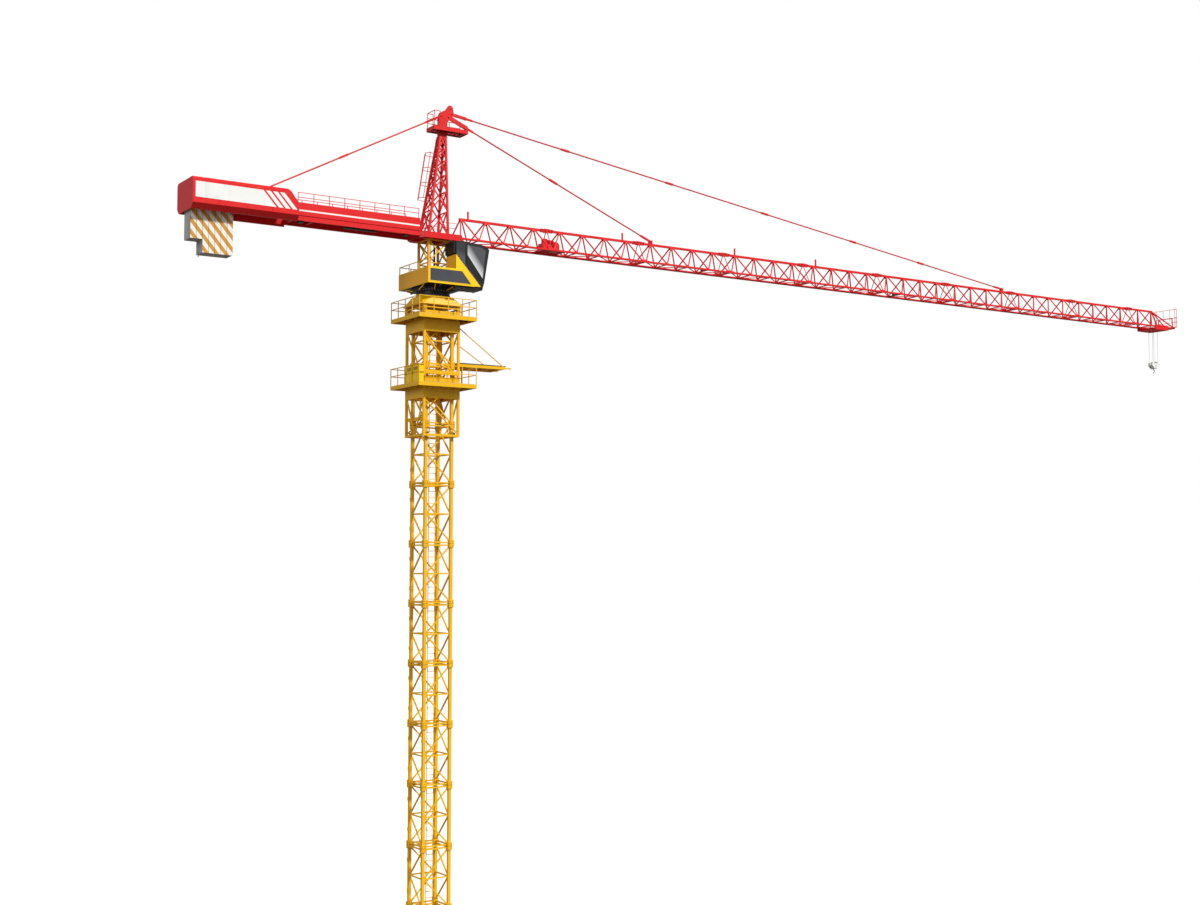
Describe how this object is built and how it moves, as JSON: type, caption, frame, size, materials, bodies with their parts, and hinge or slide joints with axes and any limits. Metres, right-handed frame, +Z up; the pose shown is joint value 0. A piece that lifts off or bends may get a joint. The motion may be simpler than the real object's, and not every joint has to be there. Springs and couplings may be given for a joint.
{
  "type": "tower crane, 1:2 scale model",
  "caption": "Tower crane with a climbing cage, lattice mast, tied triangular jib, counter-jib with ballast, trolley, hoist ropes and hook, at half size.",
  "frame": {"origin": "the mast's axis at the underside of the base frame, on the ground", "axes": "+X along the jib to its end, +Y to its left, +Z up the mast"},
  "size_m": [36.044, 1.659, 23.5755],
  "materials": {
    "mast_yellow": "satin",
    "bright_yellow": "satin",
    "crane_red": "satin",
    "cab_grey": "satin",
    "cab_glass": "clear",
    "dark_steel": "greased",
    "galvanised": "matt",
    "concrete": "rough concrete, painted stripes on the sides",
    "wire_rope": "greased"
  },
  "bodies": {
    "mast": {"base_frame": "mast_yellow", "mast_side_front": "mast_yellow", "mast_side_left": "mast_yellow", "mast_side_rear": "mast_yellow", "mast_side_right": "mast_yellow", "climbing_steps": "mast_yellow", "mast_ladder": "mast_yellow", "rest_platforms": "mast_yellow", "cage_front": "mast_yellow", "cage_left": "mast_yellow", "cage_rear": "mast_yellow", "cage_right": "mast_yellow", "climbing_beam": "dark_steel", "lower_platform": "mast_yellow", "lower_railing": "mast_yellow", "upper_platform": "mast_yellow", "upper_railing": "mast_yellow", "pump_cabinet": "bright_yellow", "section_platform": "mast_yellow", "slewing_support": "mast_yellow", "bearing_lower_ring": "dark_steel"},
    "upper_works": {"turntable": "dark_steel", "slewing_deck": "mast_yellow", "deck_boards": "bright_yellow", "deck_railing": "mast_yellow", "cab_shell": "cab_grey", "cab_glass": "cab_glass", "cab_side_panel": "bright_yellow", "slewing_tower": "mast_yellow", "jib_base_frame": "crane_red", "head_side_right": "crane_red", "head_side_left": "crane_red", "head_cross_lacing": "crane_red", "tower_head": "crane_red", "top_platform": "crane_red", "head_ladder": "crane_red", "jib_upper_chord": "crane_red", "jib_web_right": "crane_red", "jib_web_left": "crane_red", "jib_bottom_lacing": "crane_red", "jib_tip": "crane_red", "trolley_winch": "crane_red", "counter_jib_beams": "crane_red", "counter_railings": "crane_red", "machinery_housing": "crane_red", "ballast_slabs": "concrete", "rear_tie": "crane_red", "inner_tie": "crane_red", "outer_tie": "crane_red"},
    "head_sheave_body": {"head_sheave": "crane_red"},
    "trolley": {"trolley_frame": "crane_red", "trolley_wheels": "dark_steel", "hoist_ropes": "wire_rope"},
    "hook_block_body": {"hook_block": "crane_red"},
    "hook_body": {"hook": "dark_steel"}
  },
  "joints": [
    {"name": "slewing", "type": "hinge", "parent": "mast", "child": "upper_works", "pos_m": [0, 0, 18.5705], "axis": [0, 0, 1], "continuous": true},
    {"name": "head_sheave_spin", "type": "hinge", "parent": "upper_works", "child": "head_sheave_body", "pos_m": [0.455, 0, 23.4905], "axis": [0, 1, 0], "continuous": true},
    {"name": "trolley_travel", "type": "slide", "parent": "upper_works", "child": "trolley", "axis": [1, 0, 0], "range_m": [-26.15, 0.2]},
    {"name": "hoist", "type": "slide", "parent": "trolley", "child": "hook_block_body", "axis": [0, 0, 1], "range_m": [-18.04, 0.66], "deforming": ["hoist_ropes"]},
    {"name": "hook_swivel", "type": "hinge", "parent": "hook_block_body", "child": "hook_body", "pos_m": [28.75, 0, 18.5955], "axis": [0, 0, 1], "continuous": true}
  ]
}
